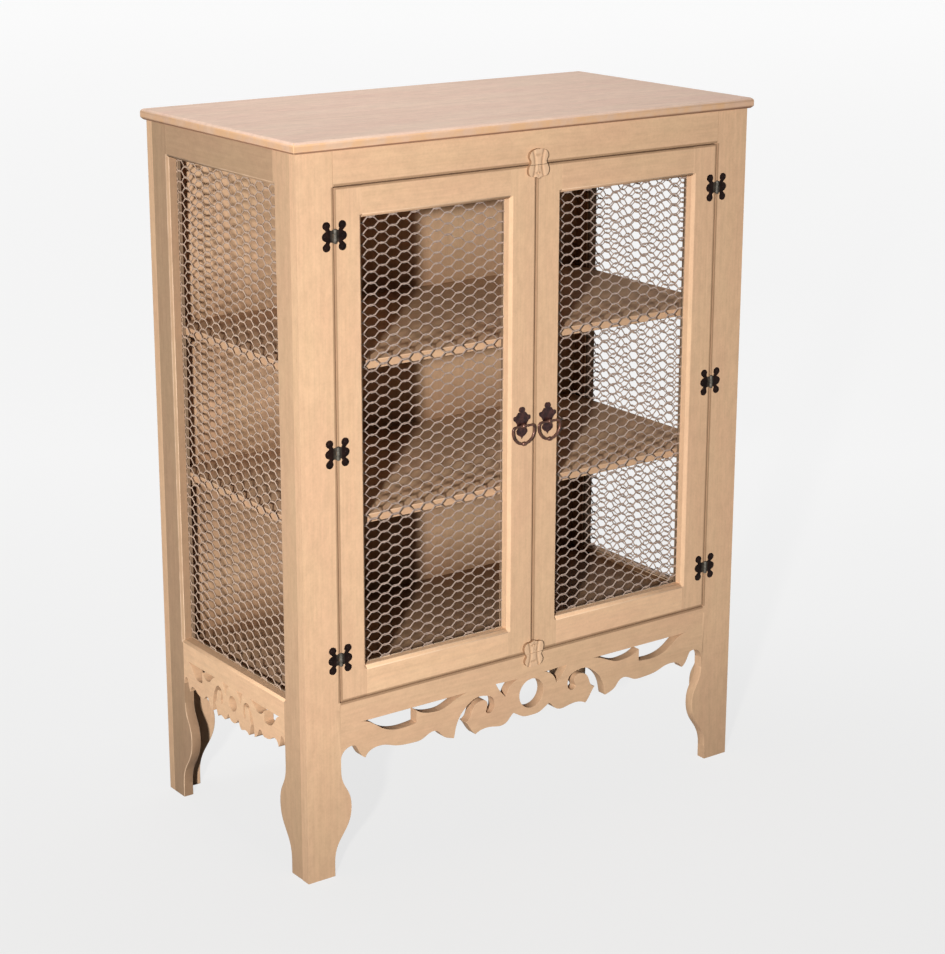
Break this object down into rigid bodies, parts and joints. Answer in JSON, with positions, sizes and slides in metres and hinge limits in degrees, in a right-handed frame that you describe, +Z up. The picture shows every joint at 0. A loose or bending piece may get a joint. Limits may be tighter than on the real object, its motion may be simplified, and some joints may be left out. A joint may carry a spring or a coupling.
{
  "type": "storage cabinet",
  "caption": "Free-standing storage cabinet in bare wood with wire-mesh doors and sides, inner shelves, pierced scroll aprons, shaped corner legs, butterfly hinges and bronze ring pulls",
  "frame": {"origin": "on the floor, under the middle of the outer box of the whole cabinet with its pulls", "axes": "+X to the right as seen from the front, +Y to the back, +Z up; the doors are on the -Y side"},
  "size_m": [0.916, 0.4766, 1.2],
  "materials": {
    "wood": "bare, weathered and sanded, matt",
    "galvanised_wire": "dull galvanised",
    "dark_iron": "blackened, satin",
    "bronze": "antiqued dark bronze",
    "steel": "plain zinc-plated",
    "magnet": "nickel-plated"
  },
  "bodies": {
    "cabinet": {"back_bottom_rail": "wood", "back_left_stile": "wood", "back_panel": "wood", "back_right_stile": "wood", "back_top_rail": "wood", "bottom_rail_carving": "wood", "catch_magnets": "magnet", "door_stop": "wood", "floor_board": "wood", "front_bottom_rail": "wood", "front_left_stile": "wood", "front_right_stile": "wood", "front_top_rail": "wood", "glue_blocks": "wood", "hinge_frame_leaves": "dark_iron", "hinge_frame_screws": "dark_iron", "hinge_pins": "dark_iron", "left_side_beads": "wood", "left_side_bottom_rail": "wood", "left_side_front_stile": "wood", "left_side_mesh": "galvanised_wire", "left_side_rear_stile": "wood", "left_side_top_rail": "wood", "lower_shelf": "wood", "right_side_beads": "wood", "right_side_bottom_rail": "wood", "right_side_front_stile": "wood", "right_side_mesh": "galvanised_wire", "right_side_rear_stile": "wood", "right_side_top_rail": "wood", "shelf_cleats": "wood", "top_board": "wood", "top_rail_carving": "wood", "upper_shelf": "wood"},
    "left_door": {"left_door_beads": "wood", "left_door_bottom_rail": "wood", "left_door_carvings": "wood", "left_door_hinge_leaves": "dark_iron", "left_door_hinge_screws": "dark_iron", "left_door_hinge_stile": "wood", "left_door_lock_stile": "wood", "left_door_mesh": "galvanised_wire", "left_door_strike": "steel", "left_door_top_rail": "wood", "left_pull_bolt": "bronze", "left_pull_plate": "bronze"},
    "right_door": {"right_door_beads": "wood", "right_door_bottom_rail": "wood", "right_door_carvings": "wood", "right_door_hinge_leaves": "dark_iron", "right_door_hinge_screws": "dark_iron", "right_door_hinge_stile": "wood", "right_door_lock_stile": "wood", "right_door_mesh": "galvanised_wire", "right_door_strike": "steel", "right_door_top_rail": "wood", "right_pull_bolt": "bronze", "right_pull_plate": "bronze"},
    "left_pull": {"left_pull_ring": "bronze"},
    "right_pull": {"right_pull_ring": "bronze"}
  },
  "joints": [
    {"name": "left_door_hinges", "type": "hinge", "parent": "cabinet", "child": "left_door", "pos_m": [-0.384, -0.2305, 0.713], "axis": [0, 0, -1], "range_deg": [0, 175]},
    {"name": "right_door_hinges", "type": "hinge", "parent": "cabinet", "child": "right_door", "pos_m": [0.384, -0.2305, 0.713], "axis": [0, 0, 1], "range_deg": [0, 175]},
    {"name": "left_pull_pivot", "type": "hinge", "parent": "left_door", "child": "left_pull", "pos_m": [-0.0265, -0.23425, 0.7], "axis": [-1, 0, 0], "range_deg": [0, 170]},
    {"name": "right_pull_pivot", "type": "hinge", "parent": "right_door", "child": "right_pull", "pos_m": [0.0265, -0.23425, 0.7], "axis": [-1, 0, 0], "range_deg": [0, 170]}
  ]
}
